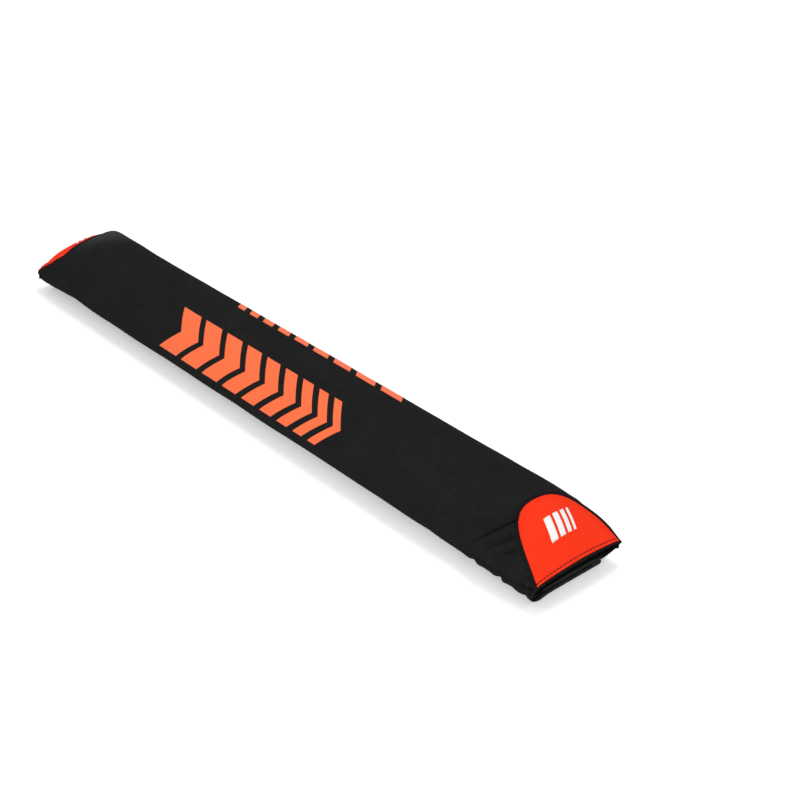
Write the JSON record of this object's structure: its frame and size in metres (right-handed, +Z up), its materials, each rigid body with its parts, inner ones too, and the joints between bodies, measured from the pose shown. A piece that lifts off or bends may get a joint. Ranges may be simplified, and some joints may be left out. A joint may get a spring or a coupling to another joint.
{
  "type": "roof rack pad",
  "caption": "Long padded cloth sleeve with a D-shaped foam core, sloped half-moon ends and a flap that closes underneath round a roof rack's crossbar.",
  "frame": {"origin": "middle of the footprint, on the floor that the outer flap lies on", "axes": "+X along the sleeve, +Y towards the back long side, which the inner flap comes from, +Z up over the crown"},
  "size_m": [0.711, 0.1004, 0.0579],
  "materials": {
    "cover_cloth": "matte woven polyester",
    "piping": "matte woven tape over cord",
    "hem_tape": "matte woven tape",
    "patch_cloth": "woven polyester with a slight sheen",
    "orange_print": "screen print ink",
    "white_print": "screen print ink",
    "touch_fastener": "hook and loop tape",
    "foam": "closed-cell foam"
  },
  "bodies": {
    "root": {"cover": "cover_cloth", "underside_panel": "cover_cloth", "near_patch_piping": "piping", "far_patch_piping": "piping", "near_hem_band": "hem_tape", "far_hem_band": "hem_tape", "near_end_patch": "patch_cloth", "far_end_patch": "patch_cloth", "near_bar_1": "white_print", "near_bar_2": "white_print", "near_bar_3": "white_print", "near_bar_4": "white_print", "far_bar_1": "white_print", "far_bar_2": "white_print", "far_bar_3": "white_print", "far_bar_4": "white_print", "hook_strip": "touch_fastener", "loop_strip": "touch_fastener", "foam_core": "foam", "front_chevron_1": "orange_print", "front_chevron_2": "orange_print", "front_chevron_3": "orange_print", "front_chevron_4": "orange_print", "front_chevron_5": "orange_print", "front_chevron_6": "orange_print", "front_chevron_7": "orange_print", "front_chevron_8": "orange_print", "front_chevron_9": "orange_print", "back_chevron_1": "orange_print", "back_chevron_2": "orange_print", "back_chevron_3": "orange_print", "back_chevron_4": "orange_print", "back_chevron_5": "orange_print", "back_chevron_6": "orange_print", "back_chevron_7": "orange_print", "back_chevron_8": "orange_print", "back_chevron_9": "orange_print"}
  },
  "joints": []
}
